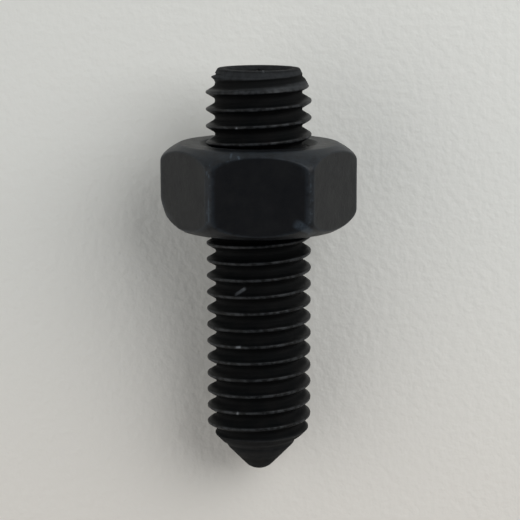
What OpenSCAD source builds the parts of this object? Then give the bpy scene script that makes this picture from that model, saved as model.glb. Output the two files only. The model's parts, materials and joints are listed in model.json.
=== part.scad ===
// Cone point grub screw with a hexagon socket, lying as it came to rest, and the hexagon nut run onto its thread.
// Each piece is drawn upright, from the tip at height zero to the socket end, and is then laid down.

/* [Screw] */
// Diameter over the crests of the thread
thread_d = 7.82; // [7.6:0.02:8]
// Distance from one turn of the thread to the next
thread_pitch = 1.25; // [1.1:0.05:1.4]
// Depth of the thread groove
thread_depth = 0.72; // [0.5:0.02:0.76]
// Width of the flat on top of each crest
crest_w = 0.2; // [0.12:0.02:0.3]
// Length from the tip to the socket end
screw_l = 30.5; // [28:0.1:36]
// Distance from the end of the cone to the first crest, on the side that lies down; below zero the cone cuts into it
crest_gap = -0.08; // [-0.1:0.02:0.2]
// Included angle of the cone at the tip
cone_angle = 88; // [80:1:100]
// Radius that rounds the nose of the cone
nose_r = 1.45; // [0.8:0.05:1.8]
// Diameter of the flat ring at the socket end
end_flat_d = 5.8; // [5.6:0.1:6.6]
// Length of the chamfer that runs from the flat ring out to the thread crests
end_chamfer_l = 1.65; // [0.8:0.05:2]

/* [Socket] */
// Size of the hexagon socket across its flats
socket_af = 4; // [3.8:0.05:4.3]
// Depth of the hexagon socket
socket_depth = 5; // [3:0.1:6]
// Width of the chamfer round the mouth of the socket
socket_chamfer = 0.2; // [0.1:0.05:0.3]
// Diameter of the drilled bottom of the socket
drill_d = 3.7; // [3:0.1:3.7]
// Included angle of the drilled bottom of the socket
drill_angle = 118; // [100:1:130]

/* [Nut] */
// Size of the nut across its flats
nut_af = 12.85; // [12.7:0.05:13.2]
// Height of the nut
nut_h = 6.35; // [6:0.05:7]
// Diameter over the rounded corners of the nut
nut_corner_d = 14.65; // [14.4:0.05:14.8]
// Diameter of the flat ring on the face towards the tip
nut_tip_face_d = 11.7; // [11:0.1:12.4]
// Height of that face's chamfer at the corners
nut_tip_chamfer_h = 1; // [0.5:0.05:1.4]
// Diameter of the flat ring on the face towards the socket end
nut_end_face_d = 11.7; // [11:0.1:12.4]
// Height of that face's chamfer at the corners
nut_end_chamfer_h = 1; // [0.5:0.05:1.4]
// Diameter of the countersink at each mouth of the nut's hole
nut_sink_d = 8.8; // [8.5:0.1:9.5]
// Distance from the screw's tip to the near face of the nut
nut_at = 18.65; // [17.65:0.1:20.05]
// Running clearance between the thread crests and the wall of the nut's hole
thread_clearance = 0.07; // [0.03:0.01:0.1]

/* [Detail] */
// Straight pieces in one turn of the thread
turn_steps = 32; // [16:4:36]

/* [Hidden] */
$fn = 96;
hex_half_angle = 30;
over_cut = 1;
thread_r = thread_d / 2;
root_r = thread_r - thread_depth;
thread_angle = 60;
flank_slope = tan(thread_angle / 2);
groove_top_w = thread_pitch - crest_w;
groove_root_w = groove_top_w - 2 * thread_depth * flank_slope;
clear_of = 0.03;
cut_r = (thread_r + clear_of) / cos(180 / turn_steps);
cut_w = groove_top_w + 2 * (cut_r - thread_r) * flank_slope;
cone_slope = tan(cone_angle / 2);
nose_join_r = nose_r * cos(cone_angle / 2);
nose_join_z = nose_r - nose_r * sin(cone_angle / 2);
cone_l = nose_join_z + (thread_r - nose_join_r) / cone_slope;
cone_at_root = nose_join_z + (root_r - nose_join_r) / cone_slope;
first_crest = cone_l + crest_gap + crest_w / 2;
nut_corner_r = nut_corner_d / 2;
nut_tip_slope = nut_tip_chamfer_h / (nut_corner_r - nut_tip_face_d / 2);
nut_hole_r = thread_r + thread_clearance;

// The screw lies on its first crest beside the cone and on the edge where the nut's lower flat meets the chamfer.
crest_edge_z = cone_l + max(crest_gap, 0);
nut_edge_z = nut_at + (nut_af - nut_tip_face_d) / 2 * nut_tip_slope;
lie_tilt = atan((nut_af / 2 - thread_r) / (nut_edge_z - crest_edge_z));
lie_height = nut_af / 2 * cos(lie_tilt) - nut_edge_z * sin(lie_tilt);
lie_back = nose_r * cos(lie_tilt) - nose_r;
lie_front = screw_l * cos(lie_tilt) + end_flat_d / 2 * sin(lie_tilt);

// Lays an upright piece down: its axis points along +X and rises by lie_tilt
module lay_down() {
    translate([-(lie_back + lie_front) / 2, 0, lie_height])
    rotate([0, 90 - lie_tilt, 0])
    children();
}

// Half outline of the screw before the thread is cut: nose, cone, shank and end chamfer
function blank_outline(nose_steps = 8) = concat(
    [for (i = [0 : nose_steps])
        let (a = (90 - cone_angle / 2) * i / nose_steps)
        [nose_r * sin(a), nose_r - nose_r * cos(a)]],
    [[thread_r, cone_l], [thread_r, screw_l - end_chamfer_l], [end_flat_d / 2, screw_l], [0, screw_l]]
);

// Section of the thread groove as radius and height: its root, then its two open corners
groove_section = [
    [root_r, -groove_root_w / 2],
    [root_r, groove_root_w / 2],
    [cut_r, cut_w / 2],
    [cut_r, -cut_w / 2]
];

// Right-hand helical V groove, one closed solid that is taken out of the blank.
// It starts clear of the cone, beside where the cone is as thin as the root, and ends past the socket end.
module thread_groove() {
    first_groove = first_crest + thread_pitch / 2;
    start_turn = (cone_at_root - cut_w - first_groove) / thread_pitch;
    end_turn = (screw_l + cut_w - first_groove) / thread_pitch;
    steps = ceil((end_turn - start_turn) * turn_steps);
    corners = len(groove_section);
    points = [for (i = [0 : steps], p = groove_section)
        let (turn = start_turn + i / turn_steps)
        [p[0] * cos(360 * turn), p[0] * sin(360 * turn), p[1] + first_groove + turn * thread_pitch]];
    sides = [for (i = [0 : steps - 1], j = [0 : corners - 1])
        let (k = (j + 1) % corners, a = i * corners, b = a + corners)
        each [[a + j, b + j, b + k], [a + j, b + k, a + k]]];
    ends = [[0, 1, 2, 3], [for (j = [corners - 1 : -1 : 0]) steps * corners + j]];
    polyhedron(points, concat(sides, ends));
}

// Hexagon socket with a chamfered mouth and a drilled bottom, two of its flats level with the nut's
module socket() {
    hex_r = socket_af / 2 / cos(hex_half_angle);
    drill_h = drill_d / 2 / tan(drill_angle / 2);
    mouth_r = hex_r + socket_chamfer;
    translate([0, 0, screw_l - socket_depth])
    rotate([0, 0, hex_half_angle])
    cylinder(r = hex_r, h = socket_depth + over_cut, $fn = 6);
    translate([0, 0, screw_l - socket_depth - drill_h])
    cylinder(r1 = 0, r2 = drill_d / 2, h = drill_h);
    translate([0, 0, screw_l - mouth_r])
    cylinder(r1 = 0, r2 = mouth_r + over_cut, h = mouth_r + over_cut);
}

module threaded_blank() {
    difference() {
        rotate_extrude() polygon(blank_outline());
        thread_groove();
    }
}

module grub_screw() {
    color([0.07, 0.07, 0.08])
    lay_down()
    difference() {
        threaded_blank();
        socket();
    }
}

// Half outline of the nut's turned form: flat faces, corner chamfers and the round left on the corners
function nut_outline() = [
    [0, 0],
    [nut_tip_face_d / 2, 0],
    [nut_corner_r, nut_tip_chamfer_h],
    [nut_corner_r, nut_h - nut_end_chamfer_h],
    [nut_end_face_d / 2, nut_h],
    [0, nut_h]
];

module nut_hole() {
    sink_r = nut_sink_d / 2;
    sink_h = sink_r + over_cut;
    translate([0, 0, -over_cut])
    cylinder(r = nut_hole_r, h = nut_h + 2 * over_cut);
    translate([0, 0, -over_cut])
    cylinder(r1 = sink_h, r2 = 0, h = sink_h);
    translate([0, 0, nut_h - sink_r])
    cylinder(r1 = 0, r2 = sink_h, h = sink_h);
}

module hex_nut() {
    color([0.1, 0.1, 0.11])
    lay_down()
    translate([0, 0, nut_at])
    difference() {
        intersection() {
            rotate([0, 0, hex_half_angle])
            cylinder(r = nut_af / 2 / cos(hex_half_angle), h = nut_h, $fn = 6);
            rotate_extrude() polygon(nut_outline());
        }
        nut_hole();
    }
}

grub_screw();
hex_nut();
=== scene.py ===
# Black grub screw with a cone point, lying on a pale floor with a hexagon nut run onto its thread.
# Both pieces are drawn in millimetres along the screw's axis, from the tip up, and then laid on the frame.
import json
import math
import bpy
from mathutils import Euler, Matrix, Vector, noise


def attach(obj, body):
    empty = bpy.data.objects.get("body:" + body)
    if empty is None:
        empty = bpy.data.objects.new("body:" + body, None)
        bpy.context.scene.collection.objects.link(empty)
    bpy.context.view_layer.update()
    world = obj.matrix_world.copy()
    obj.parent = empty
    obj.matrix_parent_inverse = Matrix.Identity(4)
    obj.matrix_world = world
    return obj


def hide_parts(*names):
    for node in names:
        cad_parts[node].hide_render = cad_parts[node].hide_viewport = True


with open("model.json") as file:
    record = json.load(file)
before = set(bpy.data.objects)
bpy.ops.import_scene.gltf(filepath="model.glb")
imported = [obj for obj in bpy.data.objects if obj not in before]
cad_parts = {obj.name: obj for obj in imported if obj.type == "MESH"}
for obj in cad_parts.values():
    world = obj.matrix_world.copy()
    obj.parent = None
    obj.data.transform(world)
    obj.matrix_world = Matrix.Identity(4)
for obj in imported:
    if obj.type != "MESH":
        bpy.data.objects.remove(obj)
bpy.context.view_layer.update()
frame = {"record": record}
print("frame loaded")

# where the screw lies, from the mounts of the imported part
mounts = {m["name"]: m for m in frame["record"]["mounts"]}
tip = Vector(mounts["cone_point"]["pos_m"])
headEnd = Vector(mounts["hex_socket"]["pos_m"])
nutNear = Vector(mounts["nut_face_to_tip"]["pos_m"])
nutFar = Vector(mounts["nut_face_to_socket"]["pos_m"])
along = (headEnd - tip).normalized()
side = Vector((0, 1, 0))
down = side.cross(along)
millimetre = 0.001
root3 = math.sqrt(3)


def smoothMin(a, b, soft):
    h = max(soft - abs(a - b), 0) / soft
    return min(a, b) - h * h * soft / 4


def smoothMax(a, b, soft):
    return -smoothMin(-a, -b, soft)


def nearness(a, b, soft):  # 1 where two surfaces meet, 0 away from the edge
    return max(1 - abs(a - b) / soft, 0)


def hump(away, halfWidth):  # 1 at the middle, 0 from half the width on
    return max(1 - (away / halfWidth) ** 2, 0)


def ramp(value, start, length):
    return min(max((value - start) / length, 0), 1)


def fromFlat(angle):  # angle to the middle of the nearest flat of a hexagon
    return abs(math.remainder(angle, math.pi / 3))


def onScrew(angle, height, radius):  # place in the frame of a point in millimetres round the screw's axis
    out = down * (radius * math.cos(angle)) + side * (radius * math.sin(angle))
    return tip + (out + along * height) * millimetre


def noiseSpot(angle, height, scale):
    around, up = scale
    return Vector((math.cos(angle) * around, math.sin(angle) * around, height * up))


# One closed surface round the screw's axis, with its columns of points at the given angles in degrees
class Skin:
    endReach = 0.012  # a row this near to the end of a helical wall ends on the wall's ring
    sharpAngle = 42  # edges that turn by more degrees than this are shaded sharp

    def __init__(self, angles):
        self.angles = [math.radians(a) for a in angles]
        self.points = []
        self.faces = []
        self.wear = []

    def point(self, radius, column, height, wear):
        self.points.append(onScrew(self.angles[column], height, radius))
        self.wear.append(min(max(wear, 0), 1))
        return len(self.points) - 1

    def ring(self, shape):  # shape gives radius, height and wear for a column
        made = [shape(i) for i in range(len(self.angles))]
        return [self.point(r, i, z, w) for i, (r, z, w) in enumerate(made)]

    def roundRing(self, radius, height, wear):
        return self.ring(lambda c: (radius, height, wear))

    def pole(self, height):
        self.points.append(tip + along * height * millimetre)
        self.wear.append(0)
        return [len(self.points) - 1] * len(self.angles)

    def quad(self, corners, flipped=False):
        kept = [c for j, c in enumerate(corners) if c != corners[j - 1]]
        if len(set(kept)) > 2:
            self.faces.append(kept[::-1] if flipped else kept)

    def join(self, lower, upper):
        n = len(self.angles)
        for i in range(n):
            j = (i + 1) % n
            self.quad([lower[i], lower[j], upper[j], upper[i]])

    def stack(self, rings):
        for lower, upper in zip(rings, rings[1:]):
            self.join(lower, upper)

    # Helical wall between two rings: each column starts a little further along, so its rows follow the thread
    def threadWall(self, lowRing, highRing, zLow, zHigh, offsets, shape, flipped=False):
        n, steps = len(self.angles), len(offsets)
        firstCrest, pitch = firstCrestHeight(), screwSizes["pitch"]
        made = {}

        def corner(row, column):
            if column == n:
                row, column = row + steps, 0
            turn, step = divmod(row, steps)
            z = firstCrest + pitch * (turn + self.angles[column] / (2 * math.pi)) + offsets[step]
            if z < zLow + self.endReach:
                return lowRing[column]
            if z > zHigh - self.endReach:
                return highRing[column]
            if (row, column) not in made:
                r, w = shape(z, offsets[step], self.angles[column])
                made[row, column] = self.point(r, column, z, w)
            return made[row, column]

        firstTurn = math.floor((zLow - firstCrest) / pitch) - 2
        lastTurn = math.ceil((zHigh - firstCrest) / pitch) + 1
        for row in range(firstTurn * steps, lastTurn * steps):
            for i in range(n):
                corners = [corner(row, i), corner(row, i + 1), corner(row + 1, i + 1), corner(row + 1, i)]
                self.quad(corners, flipped)

    def build(self, name):
        mesh = bpy.data.meshes.new(name)
        mesh.from_pydata(self.points, [], self.faces)
        mesh.attributes.new("wear", "FLOAT", "POINT").data.foreach_set("value", self.wear)
        mesh.validate()
        mesh.shade_smooth()
        mesh.set_sharp_from_angle(angle=math.radians(self.sharpAngle))
        piece = bpy.data.objects.new(name, mesh)
        bpy.context.scene.collection.objects.link(piece)
        print(name, len(self.faces), "faces")
        return piece


# The screw, its sizes in millimetres
screwSizes = {
    "length": (headEnd - tip).length / millimetre,
    "threadRadius": 3.91,
    "rootRadius": 3.23,
    "pitch": 1.25,
    "crestWidth": 0.17,
    "crestSoft": 0.09,
    "rootSoft": 0.16,
    "coneSoft": 0.05,
    "coneSlope": math.tan(math.radians(44)),  # radius gained per height
    "noseRadius": 1.45,
    "crestIntoCone": 0.02,  # how far past the cone's end the first crest's middle sits on the lower side
    "coneGroove": 0.15,  # depth of the last turn where it runs out on the cone
    "coneGrooveHalfWidth": 0.34,
    "coneGrooveFrom": 2.35,  # radius of the cone where that groove starts
    "coneGrooveFade": 0.3,
    "endRingRadius": 3.02,
    "endChamferLength": 1.65,
    "lastCrestRise": 0.13,  # how far the half-formed crest beside the end ring stands above the chamfer
    "lastCrestAt": -0.13,  # its place across the crest, towards the tip from the middle
    "lastCrestHalfWidth": 0.14,
    "lastCrestFrom": 0.36,  # it starts and ends this far from the socket end
    "lastCrestTo": 1.05,
    "lastCrestFadeIn": 0.1,
    "lastCrestFadeOut": 0.25,
    "lastCrestFoot": -0.16,  # beyond it the chamfer falls away towards the tip
    "lastGroove": 0.11,  # depth of the groove between that crest and the end ring
    "lastGrooveAt": 0.07,
    "lastGrooveHalfWidth": 0.12,
    "socketAcrossFlats": 4.0,
    "socketDepth": 5.0,
    "socketTurn": math.pi / 6,  # a corner of the socket points up
    "mouthChamfer": 0.2,
    "drillRadius": 1.85,
    "drillSlope": math.tan(math.radians(31)),  # height lost per radius in the drilled bottom
    "columns": 180,
    "noseRings": 8,
    "coneRows": [0.55, 0.7, 0.85, 1.05, 1.25, 1.5, 1.7],  # the thread's wall starts at the last of them
    "threadEnd": 0.35,  # distance from the socket end to the end of that wall
    "crestRows": [0.045, 0.08, 0.12, 0.17, 0.24, 0.33, 0.41, 0.48, 0.54],  # close together on the crest
    "socketRows": [0.75, 1.5, 2.5, 3.7],
    "nickHalfWidth": 0.45,
    "noiseScale": (3, 0.8),  # round the screw and along it
    "noiseFiner": 1.7,
    "crestWidthVary": 0.3,  # share of the crest's width that comes and goes along the thread
    "crestUneven": 0.012,  # how far the crests are rubbed down in places
    # wear: 0 where the oxide is whole, 1 where it is rubbed most
    "crestWear": 0.62,
    "cutCrestWear": 0.3,  # share left on crests that the cone or the chamfer cuts
    "crestWearInset": 0.02,  # it fades from this far inside the crest's edge
    "crestWearFade": 0.05,
    "edgeWear": 0.5,
    "edgeReach": 0.12,
    "edgeAboveRoot": 0.1,
    "nickWear": 12,  # for each millimetre of a nick's depth
    "turnedWear": 0.3,  # on the cone
    "endWear": 0.75,  # on the chamfer at the socket end
    "turnedFade": 0.1,
}
# small flats knocked into the crests: angle in degrees, height, half length round the crest, depth
crestNicks = [
    (154.8, 26.43, 0.34, 0.06), (156.4, 10.27, 0.3, 0.05), (154.9, 5.18, 0.4, 0.05),
    (182.6, 28.47, 0.25, 0.03), (201, 22.1, 0.3, 0.04), (233, 12.9, 0.35, 0.05),
    (127, 7.7, 0.4, 0.04), (98, 16.6, 0.3, 0.05), (262, 9.1, 0.4, 0.04), (287, 15.5, 0.3, 0.05),
    (71, 11.2, 0.35, 0.04), (318, 6.9, 0.3, 0.05), (350, 13.4, 0.4, 0.04), (25, 27.3, 0.35, 0.05),
    (301, 27.8, 0.3, 0.04), (44, 8.3, 0.3, 0.04),
]


def coneRadius(z):
    s = screwSizes
    joinRadius = s["noseRadius"] / math.sqrt(1 + s["coneSlope"] ** 2)
    joinHeight = s["noseRadius"] - s["noseRadius"] * s["coneSlope"] / math.sqrt(1 + s["coneSlope"] ** 2)
    return joinRadius + (z - joinHeight) * s["coneSlope"]


def endRadius(z):
    s = screwSizes
    rise = (s["length"] - z) * (s["threadRadius"] - s["endRingRadius"]) / s["endChamferLength"]
    return s["endRingRadius"] + rise


def firstCrestHeight():
    s = screwSizes
    coneEnd = (s["threadRadius"] - coneRadius(0)) / s["coneSlope"]
    return coneEnd + s["crestIntoCone"]


def acrossCrest(halfRows):  # rows across a whole crest, and the one in the middle of the groove
    return [-h for h in reversed(halfRows)] + [0] + halfRows + [screwSizes["pitch"] / 2]


def nickDepth(angle, z):
    s = screwSizes
    depth = 0
    for nickAngle, nickHeight, halfLength, deep in crestNicks:
        up = abs(z - nickHeight)
        if up < s["nickHalfWidth"]:
            away = math.remainder(angle - math.radians(nickAngle), 2 * math.pi) * s["threadRadius"]
            depth = max(depth, deep * hump(away, halfLength) * (1 - up / s["nickHalfWidth"]))
    return depth


def coneGrooveDepth(z, offset):
    s = screwSizes
    nearGroove = hump(s["pitch"] / 2 - abs(offset), s["coneGrooveHalfWidth"])
    runOut = ramp(coneRadius(z), s["coneGrooveFrom"], s["coneGrooveFade"])
    return s["coneGroove"] * nearGroove * runOut


def lastCrestStep(z, offset):  # the crest beside the end ring is rolled only part of the way up
    s = screwSizes
    fromEnd = s["length"] - z + offset
    fadeIn = ramp(fromEnd, s["lastCrestFrom"], s["lastCrestFadeIn"])
    fadeOut = ramp(-fromEnd, -s["lastCrestTo"], s["lastCrestFadeOut"])
    raised = s["lastCrestRise"] * hump(offset - s["lastCrestAt"], s["lastCrestHalfWidth"])
    sunk = s["lastGroove"] * hump(offset - s["lastGrooveAt"], s["lastGrooveHalfWidth"])
    return fadeIn * fadeOut * (raised - sunk - max(s["lastCrestFoot"] - offset, 0))


def threadShape(z, offset, angle):
    s = screwSizes
    spot = noiseSpot(angle, z, s["noiseScale"])
    crestWidth = s["crestWidth"] * (1 + s["crestWidthVary"] * noise.noise(spot))
    dent = nickDepth(angle, z)
    top = s["threadRadius"] - s["crestUneven"] * abs(noise.noise(spot * s["noiseFiner"])) - dent
    flank = s["threadRadius"] - (abs(offset) - crestWidth / 2) * root3
    thread = smoothMax(smoothMin(top, flank, s["crestSoft"]), s["rootRadius"], s["rootSoft"])
    blank = min(coneRadius(z) - coneGrooveDepth(z, offset), endRadius(z) + lastCrestStep(z, offset))
    radius = smoothMin(thread, blank, s["coneSoft"])
    # wear on the crest, on its edges, in its nicks and where the blank was turned
    fromCrest = max(abs(offset) - crestWidth / 2 + s["crestWearInset"], 0)
    onCrest = max(1 - fromCrest / s["crestWearFade"], 0)
    crestWear = s["crestWear"] * onCrest * (1 if blank > s["threadRadius"] else s["cutCrestWear"])
    onFlank = thread > s["rootRadius"] + s["edgeAboveRoot"]
    edgeWear = s["edgeWear"] * nearness(thread, blank, s["edgeReach"]) if onFlank else 0
    turned = s["turnedWear"] if z < s["length"] / 2 else s["endWear"]
    turned *= ramp(thread, blank, s["turnedFade"])
    return radius, max(crestWear, edgeWear, s["nickWear"] * dent * onCrest, turned)


def makeScrew():
    s = screwSizes
    skin = Skin([360 * i / s["columns"] for i in range(s["columns"])])
    length, nose = s["length"], s["noseRadius"]
    # nose and cone, up to where the thread starts
    noseEnd = math.pi / 2 - math.atan(s["coneSlope"])
    rings = [skin.pole(0)]
    for i in range(1, s["noseRings"] + 1):
        a = noseEnd * i / s["noseRings"]
        rings.append(skin.roundRing(nose * math.sin(a), nose - nose * math.cos(a), s["turnedWear"]))
    rings += [skin.roundRing(coneRadius(z), z, s["turnedWear"]) for z in s["coneRows"]]
    skin.stack(rings)
    lowRing = rings[-1]
    # socket end, from the chamfer over the flat ring into the socket
    zHigh = length - s["threadEnd"]
    mouth = s["socketAcrossFlats"] / root3 + s["mouthChamfer"]
    ring = s["endRingRadius"]
    highRing = skin.roundRing(endRadius(zHigh), zHigh, s["endWear"])
    endOutline = [  # radius, distance from the socket end, wear
        (endRadius(length - 0.09), 0.09, 0.4),
        (ring + 0.022, 0.04, 1),
        (ring - 0.005, 0.012, 1),
        (ring - 0.04, 0, 0.8),
        (ring - 0.09, 0, 0.2),
        ((ring + mouth) / 2, 0, 0),
        (mouth + 0.05, 0, 0.3),
        (mouth + 0.015, 0.005, 0.9),
        (mouth - 0.02, 0.03, 0.8),
    ]
    rings = [highRing] + [skin.roundRing(r, length - below, w) for r, below, w in endOutline]
    wall = [s["socketAcrossFlats"] / 2 / math.cos(fromFlat(a + s["socketTurn"])) for a in skin.angles]
    rings.append(skin.ring(lambda c: (wall[c], length - (mouth - wall[c]) - 0.002, 0.3)))
    for depth in s["socketRows"] + [s["socketDepth"]]:
        rings.append(skin.ring(lambda c: (wall[c], length - depth, 0)))
    floorHeight = length - s["socketDepth"]
    drill = s["drillRadius"]
    rings.append(skin.roundRing(drill, floorHeight, 0))
    rings.append(skin.roundRing(drill / 2, floorHeight - drill / 2 * s["drillSlope"], 0))
    rings.append(skin.pole(floorHeight - drill * s["drillSlope"]))
    skin.stack(rings)
    skin.threadWall(lowRing, highRing, s["coneRows"][-1], zHigh, acrossCrest(s["crestRows"]), threadShape)
    screw = skin.build("screw")
    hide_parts("grub_screw")
    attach(screw, "screw")
    return screw


# The nut, its sizes in millimetres
nutSizes = {
    "nearFace": (nutNear - tip).length / millimetre,
    "farFace": (nutFar - tip).length / millimetre,
    "acrossFlats": 12.85,
    "cornerRound": 0.55,
    "cornerRadius": 7.325,
    "faceRadius": 5.9,
    "chamferSlope": 0.56,  # height lost per radius beyond the face
    "cornerSoft": 1.1,
    "edgeSoft": 0.1,
    "bluntCorner": 90,  # angle in degrees of the corner that is rounder towards the tip
    "bluntReach": 24,  # how far that goes to either side, in degrees
    "bluntDepth": 0.32,
    "bluntAt": 0.9,  # deepest this far from the face
    "bluntHalfWidth": 1.5,
    "sinkRadius": 4.4,
    "sinkDepth": 0.35,  # where the thread starts in the countersink
    "boreRadius": 3.36,
    "grooveRadius": 3.98,
    "flankGap": 0.11,
    "grooveSoft": 0.06,
    "boreSoft": 0.08,
    "sinkSoft": 0.05,
    "columnsFromCorner": [0, 0.45, 0.9, 1.35, 1.8, 2.3, 3, 4, 5.5, 7.5, 10, 13, 16.5, 20, 23.5, 27, 30],
    "chamferRows": [0.1, 0.3, 0.5, 0.7, 0.85, 0.94],  # shares of the way from a face to the crease
    "creaseRows": [0, 0.05, 0.12, 0.25],  # distances past the crease, onto the flat
    "flatRows": [0.12, 0.24, 0.36, 0.48, 0.6, 0.72, 0.84],  # shares of the way along the flat
    "creaseMost": 1.5,  # the crease is followed only to this depth, since it fades out at the corners
    "threadRows": [0.1, 0.18, 0.3, 0.42, 0.5],
    "noiseScale": (4, 0.55),  # round the nut and along it
    "noiseFiner": 2.7,
    "lumps": (0.012, 0.006),  # height of the wide and of the finer unevenness
    # wear: 0 where the oxide is whole, 1 where it is rubbed most; the far chamfer's share is partly a painted
    # highlight
    "edgeWear": 0.9,
    "edgeReach": 0.16,
    "cornerWear": 0.04,
    "cornerReach": 2.2,  # in degrees
    "nearBandWear": 0.1,
    "farBandWearAndSheen": 0.42,  # the chamfer towards the socket end is painted paler: partly wear, partly a painted highlight where it catches the light
}


def nutPlanRadius(angle):  # hexagon with rounded corners
    s = nutSizes
    half, soft = s["acrossFlats"] / 2, s["cornerRound"]
    away = fromFlat(angle)
    if away < math.atan((half - soft) / root3 / half):
        return half / math.cos(away)
    centre = (half - soft) * 2 / root3
    fromCorner = math.pi / 6 - away
    return centre * math.cos(fromCorner) + math.sqrt(soft ** 2 - (centre * math.sin(fromCorner)) ** 2)


def chamferRadius(depth):  # depth below a face
    s = nutSizes
    return smoothMin(s["faceRadius"] + depth / s["chamferSlope"], s["cornerRadius"], s["cornerSoft"])


def bluntness(angle, depth):  # what is missing at the blunt corner, by depth below the face towards the tip
    s = nutSizes
    away = math.degrees(math.remainder(angle - math.radians(s["bluntCorner"]), 2 * math.pi))
    share = hump(depth - s["bluntAt"], s["bluntHalfWidth"]) ** 2
    return s["bluntDepth"] * hump(away, s["bluntReach"]) * share


def creaseDepth(radius):  # where the chamfer reaches a flat
    low, high = 0, 2
    for halving in range(24):
        middle = (low + high) / 2
        low, high = (middle, high) if chamferRadius(middle) < radius else (low, middle)
    return low


def makeNut():
    s = nutSizes
    sector = {60 * k + 30 + sign * a for k in range(6) for a in s["columnsFromCorner"] for sign in (-1, 1)}
    skin = Skin([a for a in sorted(sector) if a < 360 - 1e-6])
    near, far, sink = s["nearFace"], s["farFace"], s["sinkRadius"]
    plan = [nutPlanRadius(a) for a in skin.angles]
    crease = [min(creaseDepth(r), s["creaseMost"]) for r in plan]
    pastCrease = s["creaseRows"][-1]

    def outside(column, z):
        a = skin.angles[column]
        blank = chamferRadius(min(z - near, far - z)) - bluntness(a, z - near)
        spot = noiseSpot(a, z, s["noiseScale"])
        wide, fine = s["lumps"]
        lumps = wide * noise.noise(spot) + fine * noise.noise(spot * s["noiseFiner"])
        radius = smoothMin(plan[column], blank, s["edgeSoft"]) + lumps
        if blank > plan[column]:
            fromCorner = abs(math.pi / 6 - fromFlat(a))
            band = s["cornerWear"] * max(1 - fromCorner / math.radians(s["cornerReach"]), 0)
        else:
            # on the far chamfer this band is partly wear and partly a painted highlight
            band = s["farBandWearAndSheen"] if z > (near + far) / 2 else s["nearBandWear"]
        return radius, z, max(s["edgeWear"] * nearness(plan[column], blank, s["edgeReach"]), band)

    def between(column, share):
        low, high = near + crease[column] + pastCrease, far - crease[column] - pastCrease
        return outside(column, low + (high - low) * share)

    faceOutline = [  # radius, distance from the face, wear
        (sink - s["sinkDepth"], s["sinkDepth"], 0),
        (sink - 0.05, 0.05, 0.2),
        (sink - 0.02, 0.022, 0.8),
        (sink + 0.02, 0.005, 0.8),
        (sink + 0.07, 0, 0.2),
        (5.1, 0, 0),
        (s["faceRadius"] - 0.12, 0, 0.1),
        (s["faceRadius"] - 0.03, 0.008, 0.5),
    ]
    rings = [skin.roundRing(r, near + up, w) for r, up, w in faceOutline]
    rings += [skin.ring(lambda c: outside(c, near + share * crease[c])) for share in s["chamferRows"]]
    rings += [skin.ring(lambda c: outside(c, near + crease[c] + past)) for past in s["creaseRows"]]
    rings += [skin.ring(lambda c: between(c, share)) for share in s["flatRows"]]
    rings += [skin.ring(lambda c: outside(c, far - crease[c] - past)) for past in s["creaseRows"][::-1]]
    rings += [skin.ring(lambda c: outside(c, far - share * crease[c])) for share in s["chamferRows"][::-1]]
    rings += [skin.roundRing(r, far - up, w) for r, up, w in faceOutline[::-1]]
    skin.stack(rings)

    def groove(z, offset, angle):  # the nut's thread, which leaves a gap round the screw's
        fromCrest = abs(offset) - screwSizes["crestWidth"] / 2
        flank = screwSizes["threadRadius"] + s["flankGap"] - fromCrest * root3
        grooved = smoothMin(s["grooveRadius"], flank, s["grooveSoft"])
        thread = smoothMax(grooved, s["boreRadius"], s["boreSoft"])
        return smoothMax(thread, sink - min(z - near, far - z), s["sinkSoft"]), 0

    zLow, zHigh = near + s["sinkDepth"], far - s["sinkDepth"]
    rows = acrossCrest(s["threadRows"])
    skin.threadWall(rings[0], rings[-1], zLow, zHigh, rows, groove, flipped=True)
    nut = skin.build("nut")
    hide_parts("hex_nut")
    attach(nut, "nut")
    return nut


screw = makeScrew()
nut = makeNut()


# Finishes
def newMaterial(name):
    material = bpy.data.materials.new(name)
    material.use_nodes = True
    tree = material.node_tree
    return material, tree, tree.nodes["Principled BSDF"]


def addNode(tree, kind, inputs=None, **settings):
    node = tree.nodes.new(kind)
    for key, value in settings.items():
        setattr(node, key, value)
    for key, value in (inputs or {}).items():
        if hasattr(value, "is_output"):
            tree.links.new(value, node.inputs[key])
        else:
            node.inputs[key].default_value = value
    return node


def calc(tree, operation, a, b=0.0, clamp=False):
    return addNode(tree, "ShaderNodeMath", {0: a, 1: b}, operation=operation, use_clamp=clamp).outputs[0]


def vectorCalc(tree, operation, inputs, result="Vector"):
    return addNode(tree, "ShaderNodeVectorMath", inputs, operation=operation).outputs[result]


def dot(tree, a, b):
    return vectorCalc(tree, "DOT_PRODUCT", {0: a, 1: b}, "Value")


def objectPlace(tree):
    return addNode(tree, "ShaderNodeTexCoord").outputs["Object"]


def wearValue(tree):
    return addNode(tree, "ShaderNodeAttribute", attribute_name="wear").outputs["Fac"]


def noiseAt(tree, place, scale, detail=4.0, rough=0.55):
    inputs = {"Vector": place, "Scale": scale, "Detail": detail, "Roughness": rough}
    return addNode(tree, "ShaderNodeTexNoise", inputs).outputs["Fac"]


def spread(tree, value, low, high, toLow=0.0, toHigh=1.0):
    inputs = {"Value": value, "From Min": low, "From Max": high, "To Min": toLow, "To Max": toHigh}
    return addNode(tree, "ShaderNodeMapRange", inputs, interpolation_type="SMOOTHSTEP").outputs["Result"]


def blendColour(tree, share, a, b):
    node = addNode(tree, "ShaderNodeMix", data_type="RGBA")
    sockets = {"share": node.inputs[0], "a": node.inputs[6], "b": node.inputs[7]}
    for key, value in (("share", share), ("a", a), ("b", b)):
        if hasattr(value, "is_output"):
            tree.links.new(value, sockets[key])
        else:
            sockets[key].default_value = value if key == "share" else (*value, 1)
    return node.outputs[2]


def addBump(tree, shader, relief, strength, distance):
    bump = addNode(tree, "ShaderNodeBump", {"Height": relief, "Strength": strength, "Distance": distance})
    tree.links.new(bump.outputs["Normal"], shader.inputs["Normal"])


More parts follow.
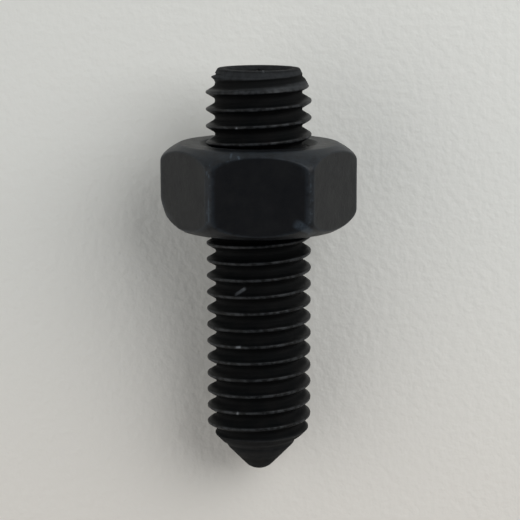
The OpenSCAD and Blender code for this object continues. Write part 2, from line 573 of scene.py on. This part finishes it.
def heightAndRadius(tree, place):  # height along the screw and distance from its axis, in metres
    fromTip = vectorCalc(tree, "SUBTRACT", {0: place, 1: tip})
    height = dot(tree, fromTip, along)
    onAxis = vectorCalc(tree, "SCALE", {0: along, "Scale": height})
    return height, vectorCalc(tree, "DISTANCE", {0: fromTip, 1: onAxis}, "Value")


# The thread is unrolled at this radius in metres for scratches that run across its crests.
unrollRadius = 0.0036


def unrolledPlace(tree, place):  # run round the screw and height along it, in metres
    fromTip = vectorCalc(tree, "SUBTRACT", {0: place, 1: tip})
    turn = calc(tree, "ARCTAN2", dot(tree, fromTip, side), dot(tree, fromTip, down))
    inputs = {"X": calc(tree, "MULTIPLY", turn, unrollRadius), "Y": dot(tree, fromTip, along)}
    return addNode(tree, "ShaderNodeCombineXYZ", inputs).outputs["Vector"]


def unrolled(angle, height):  # angle in degrees, height in millimetres
    return Vector((math.radians(angle) * unrollRadius, height * millimetre, 0))


def streakMask(tree, place, start, end, width):  # 1 on a scratch from start to end, in metres
    middle, half = (start + end) / 2, (end - start).length / 2
    away = vectorCalc(tree, "SUBTRACT", {0: place, 1: middle})
    run = dot(tree, away, (end - start).normalized())
    length = vectorCalc(tree, "LENGTH", {0: away}, "Value")
    lengthSquared = calc(tree, "MULTIPLY", length, length)
    acrossSquared = calc(tree, "SUBTRACT", lengthSquared, calc(tree, "MULTIPLY", run, run))
    across = calc(tree, "SQRT", calc(tree, "MAXIMUM", acrossSquared, 0.0))
    inRun = spread(tree, calc(tree, "ABSOLUTE", run), half + width, half * 0.7)
    inWidth = spread(tree, across, width, width * 0.3)
    return calc(tree, "MULTIPLY", inRun, inWidth)


def allMarks(tree, marks):  # the strongest of several scratches: place, start, end, width, strength
    total = None
    for place, start, end, width, strength in marks:
        mark = calc(tree, "MULTIPLY", streakMask(tree, place, start, end, width * millimetre), strength)
        total = mark if total is None else calc(tree, "MAXIMUM", total, mark)
    return total


# The screw's finish: colours as linear values, noise scales per metre
screwFinish = {
    "oxide": (0.0015, 0.0019, 0.0022),
    "oxidePale": (0.0032, 0.0032, 0.0033),
    "bare": (0.1, 0.108, 0.118),
    "rust": (0.012, 0.007, 0.005),
    "rustShare": 0.6,
    "rustTo": 0.0032,  # height in metres to which it reaches from the tip
    "wornShare": 0.25,
    "wornMetal": 0.8,
    "roughness": 0.4,
    "wornSmoother": 0.08,
    "rootMatt": 0.4,  # added to the roughness down in the thread
    "gloss": 0.1,
    "mottleScale": 700,
    "patchScale": 2300,
    "grainScale": 6500,
    "rollingScale": 9000,
    "toolMarkScale": 2600,
    "bump": 0.35,
    "bumpDepth": 0.00003,
}
# scratches across the crests: from and to as angle in degrees and height in millimetres, width, strength
screwScratches = [
    (152.4, 14.22, 160.6, 14.56, 0.17, 1.0),
    (154.4, 26.43, 155.4, 26.45, 0.1, 0.8),
    (154, 10.24, 158.4, 10.28, 0.12, 0.9),
    (154.6, 5.15, 155.2, 5.25, 0.12, 0.9),
    (181, 27.06, 181.4, 27.22, 0.1, 0.5),
]
endScratch = {"angle": 186, "from": 2.45, "to": 3.0, "width": 0.14, "strength": 1.0}  # on the flat ring


def screwMaterial():
    f = screwFinish
    material, tree, shader = newMaterial("blackenedThread")
    place = objectPlace(tree)
    height, out = heightAndRadius(tree, place)
    wear = wearValue(tree)
    turned = addNode(tree, "ShaderNodeCombineXYZ", {"X": height, "Y": out}).outputs["Vector"]
    lines = noiseAt(tree, turned, f["rollingScale"], 3)  # rolling lines that run round the thread
    mottle = noiseAt(tree, place, f["mottleScale"], 5)
    grain = noiseAt(tree, place, f["grainScale"], 4, 0.65)
    patches = noiseAt(tree, place, f["patchScale"], 4, 0.6)
    base = blendColour(tree, spread(tree, mottle, 0.35, 0.7), f["oxide"], f["oxidePale"])
    # a little rust by the tip
    nearTip = calc(tree, "MULTIPLY", spread(tree, height, f["rustTo"], 0.0), spread(tree, patches, 0.5, 0.7))
    base = blendColour(tree, calc(tree, "MULTIPLY", nearTip, f["rustShare"]), base, f["rust"])
    # rubbed in patches on the crests, and in rings on the turned cone and chamfer
    end = screwSizes["length"]
    onCone = spread(tree, height, 0.0037, 0.0033)
    onChamfer = spread(tree, height, (end - 1.6) * millimetre, (end - 1.2) * millimetre)
    onTurned = calc(tree, "MAXIMUM", onCone, onChamfer)
    toolMarks = noiseAt(tree, turned, f["toolMarkScale"], 3, 0.5)
    inRings = spread(tree, toolMarks, 0.35, 0.65, 0.45, 1.15)
    ringShare = calc(tree, "ADD", inRings, spread(tree, patches, 0.35, 0.65, -0.2, 0.2))
    patchShare = spread(tree, patches, 0.4, 0.6, 0.15, 1.5)
    towardsRings = calc(tree, "MULTIPLY", onTurned, calc(tree, "SUBTRACT", ringShare, patchShare))
    rubbed = calc(tree, "MULTIPLY", wear, calc(tree, "ADD", patchShare, towardsRings), clamp=True)
    # scratches
    flat = unrolledPlace(tree, place)
    marks = [(flat, unrolled(a, h), unrolled(b, k), w, s) for a, h, b, k, w, s in screwScratches]
    e = endScratch
    endFrom = onScrew(math.radians(e["angle"]), end, e["from"])
    endTo = onScrew(math.radians(e["angle"]), end - 0.1, e["to"])
    marks.append((place, endFrom, endTo, e["width"], e["strength"]))
    rubbed = calc(tree, "MAXIMUM", calc(tree, "MULTIPLY", rubbed, f["wornShare"]), allMarks(tree, marks))
    base = blendColour(tree, rubbed, base, f["bare"])
    tree.links.new(base, shader.inputs["Base Color"])
    rough = calc(tree, "ADD", f["roughness"] - 0.1, calc(tree, "MULTIPLY", grain, 0.2))
    rough = calc(tree, "SUBTRACT", rough, calc(tree, "MULTIPLY", rubbed, f["wornSmoother"]))
    inRoot = spread(tree, out, 0.00375, 0.0034)
    rough = calc(tree, "ADD", rough, calc(tree, "MULTIPLY", inRoot, f["rootMatt"]))
    tree.links.new(rough, shader.inputs["Roughness"])
    tree.links.new(calc(tree, "MULTIPLY", rubbed, f["wornMetal"]), shader.inputs["Metallic"])
    shader.inputs["Specular IOR Level"].default_value = f["gloss"]
    relief = calc(tree, "ADD", calc(tree, "MULTIPLY", lines, 0.5), calc(tree, "MULTIPLY", grain, 0.6))
    addBump(tree, shader, relief, f["bump"], f["bumpDepth"])
    return material


# The nut's finish: colours as linear values, noise scales per metre
nutFinish = {
    "oxide": (0.0034, 0.0039, 0.005),
    "oxidePale": (0.0056, 0.006, 0.0068),
    "bare": (0.06, 0.078, 0.1),
    "wornShare": 0.35,
    "evenWear": 0.42,  # wear up to here is even, and above it comes in specks
    "edgeShare": 0.4,
    "scuffShare": 0.66,
    "wornMetal": 0.8,
    "roughness": 0.4,
    "gloss": 0.155,
    "mottleScale": 420,
    "patchScale": 1500,
    "speckScale": 1900,
    "grainScale": 7000,
    "drawnScale": (500, 3500, 3500),
    "bump": 0.35,
    "bumpDepth": 0.00004,
}
# scuffs and scratches: from and to as angle in degrees and height in millimetres, width, strength
nutScratches = [
    (203, 19.85, 209, 19.45, 0.45, 0.9),
    (209, 19.45, 216, 19.0, 0.4, 0.9),
    (160.9, 24.9, 161.5, 24.6, 0.12, 1.0),
    (166, 24.75, 167.2, 24.6, 0.12, 1.0),
    (150, 24.2, 150.4, 23.2, 0.1, 0.7),
    (150, 21.9, 150.2, 19.9, 0.1, 0.6),
    (209.4, 24.1, 209.7, 22.4, 0.12, 0.5),
]


def onNut(angle, height):  # place in the frame of a point on the nut's outside
    a = math.radians(angle)
    chamfer = chamferRadius(min(height - nutSizes["nearFace"], nutSizes["farFace"] - height))
    return onScrew(a, height, min(nutPlanRadius(a), chamfer))


def nutMaterial():
    f = nutFinish
    material, tree, shader = newMaterial("blackenedNut")
    place = objectPlace(tree)
    wear = wearValue(tree)
    mottle = noiseAt(tree, place, f["mottleScale"], 6, 0.6)
    patches = noiseAt(tree, place, f["patchScale"], 5, 0.65)
    grain = noiseAt(tree, place, f["grainScale"], 4, 0.65)
    drawn = vectorCalc(tree, "MULTIPLY", {0: place, 1: f["drawnScale"]})
    lines = noiseAt(tree, drawn, 1.0, 4, 0.6)  # faint drawing lines along the flats
    base = blendColour(tree, spread(tree, mottle, 0.35, 0.72), f["oxide"], f["oxidePale"])
    # rubbed evenly on the chamfers, where the far chamfer's paler band is partly a painted highlight, and in
    # specks on the edges
    even = calc(tree, "MINIMUM", wear, f["evenWear"])
    rubbed = calc(tree, "MULTIPLY", even, spread(tree, patches, 0.32, 0.62, 0.2, 1.0), clamp=True)
    specks = spread(tree, noiseAt(tree, place, f["speckScale"], 5, 0.7), 0.5, 0.66)
    onEdge = calc(tree, "MULTIPLY", spread(tree, wear, f["evenWear"], 0.9), specks)
    scuff = allMarks(tree, [(place, onNut(a, h), onNut(b, k), w, s) for a, h, b, k, w, s in nutScratches])
    scuff = calc(tree, "MULTIPLY", scuff, spread(tree, patches, 0.32, 0.54, 0.25, 1.0))
    rubbed = calc(tree, "MULTIPLY", rubbed, f["wornShare"])
    rubbed = calc(tree, "MAXIMUM", rubbed, calc(tree, "MULTIPLY", scuff, f["scuffShare"]))
    rubbed = calc(tree, "MAXIMUM", rubbed, calc(tree, "MULTIPLY", onEdge, f["edgeShare"]))
    base = blendColour(tree, rubbed, base, f["bare"])
    tree.links.new(base, shader.inputs["Base Color"])
    rough = calc(tree, "ADD", f["roughness"] - 0.12, calc(tree, "MULTIPLY", patches, 0.24))
    tree.links.new(rough, shader.inputs["Roughness"])
    tree.links.new(calc(tree, "MULTIPLY", rubbed, f["wornMetal"]), shader.inputs["Metallic"])
    shader.inputs["Specular IOR Level"].default_value = f["gloss"]
    relief = calc(tree, "ADD", calc(tree, "MULTIPLY", lines, 0.15), patches)
    relief = calc(tree, "ADD", calc(tree, "MULTIPLY", grain, 0.6), relief)
    addBump(tree, shader, relief, f["bump"], f["bumpDepth"])
    return material


screw.data.materials.append(screwMaterial())
nut.data.materials.append(nutMaterial())
print("finishes made")

# Floor, light and camera, in metres
floorLook = {
    "halfWidth": 1.5,
    "colour": (0.64, 0.642, 0.618),
    "paintedWarmLight": (0.65, 0.622, 0.583),  # painted warm light, growing towards the front of the picture
    "roughness": 0.55,
    "peelScale": 1500,
    "bump": 0.4,
    "bumpDepth": 0.00015,
}
roomLook = {
    "darkSide": (0.42, 0.4, 0.37),
    "brightSide": (0.84, 0.87, 0.87),
    "ceiling": (0.05, 0.057, 0.076),
    "seen": (0.6, 0.6, 0.58),  # what the camera sees past the floor
}
cameraView = {
    "lens": 123.86,
    "sensor": 36,
    "clipStart": 0.01,
    "place": (0.003954, 0.001597, 0.14),
    "turn": (-1.406, -0.724, -90.195),  # in degrees
}


def makeFloor():
    f = floorLook
    w = f["halfWidth"]
    mesh = bpy.data.meshes.new("floor")
    mesh.from_pydata([(-w, -w, 0), (w, -w, 0), (w, w, 0), (-w, w, 0)], [], [(0, 1, 2, 3)])
    floor = bpy.data.objects.new("floor", mesh)
    bpy.context.scene.collection.objects.link(floor)
    material, tree, shader = newMaterial("palePaint")
    place = objectPlace(tree)
    peel = noiseAt(tree, place, f["peelScale"], 2, 0.5)
    # painted warm light: the floor's colour turns warmer towards the front of the picture
    paintedWarmLightShare = spread(tree, addNode(tree, "ShaderNodeSeparateXYZ", {0: place}).outputs["X"], 0.01, -0.03)
    tree.links.new(blendColour(tree, paintedWarmLightShare, f["colour"], f["paintedWarmLight"]), shader.inputs["Base Color"])
    shader.inputs["Roughness"].default_value = f["roughness"]
    addBump(tree, shader, peel, f["bump"], f["bumpDepth"])
    mesh.materials.append(material)


def makeRoom():
    r = roomLook
    world = bpy.data.worlds.new("roomLight")
    bpy.context.scene.world = world
    world.use_nodes = True
    tree = world.node_tree
    background = tree.nodes["Background"]
    direction = addNode(tree, "ShaderNodeTexCoord").outputs["Generated"]
    parts = addNode(tree, "ShaderNodeSeparateXYZ", {0: direction}).outputs
    walls = blendColour(tree, spread(tree, parts["X"], -0.7, 0.7), r["darkSide"], r["brightSide"])
    room = blendColour(tree, spread(tree, parts["Z"], 0.5, 0.92), walls, r["ceiling"])
    seen = addNode(tree, "ShaderNodeLightPath").outputs["Is Camera Ray"]
    tree.links.new(blendColour(tree, seen, room, r["seen"]), background.inputs["Color"])


def areaLight(name, place, width, power, colour):  # a round lamp that points at the middle of the floor
    lamp = bpy.data.lights.new(name, "AREA")
    lamp.shape = "DISK"
    lamp.size = width
    lamp.energy = power
    lamp.color = colour
    light = bpy.data.objects.new(name, lamp)
    light.location = place
    light.rotation_euler = (-Vector(place)).to_track_quat("-Z", "Y").to_euler()
    bpy.context.scene.collection.objects.link(light)


def makeCamera():
    v = cameraView
    camera = bpy.data.objects.new("camera", bpy.data.cameras.new("camera"))
    camera.data.lens = v["lens"]
    camera.data.sensor_width = v["sensor"]
    camera.data.clip_start = v["clipStart"]
    camera.location = v["place"]
    camera.rotation_euler = Euler([math.radians(a) for a in v["turn"]])
    bpy.context.scene.collection.objects.link(camera)
    bpy.context.scene.camera = camera


makeFloor()
makeRoom()
areaLight("keyLight", (0.1, -0.16, 0.19), 0.26, 0.55, (1.0, 1.0, 0.99))
areaLight("fillLight", (-0.08, 0.3, 0.17), 0.55, 0.72, (1.0, 0.98, 0.95))
makeCamera()
bpy.context.scene.view_settings.view_transform = "Standard"
print("light and camera placed")
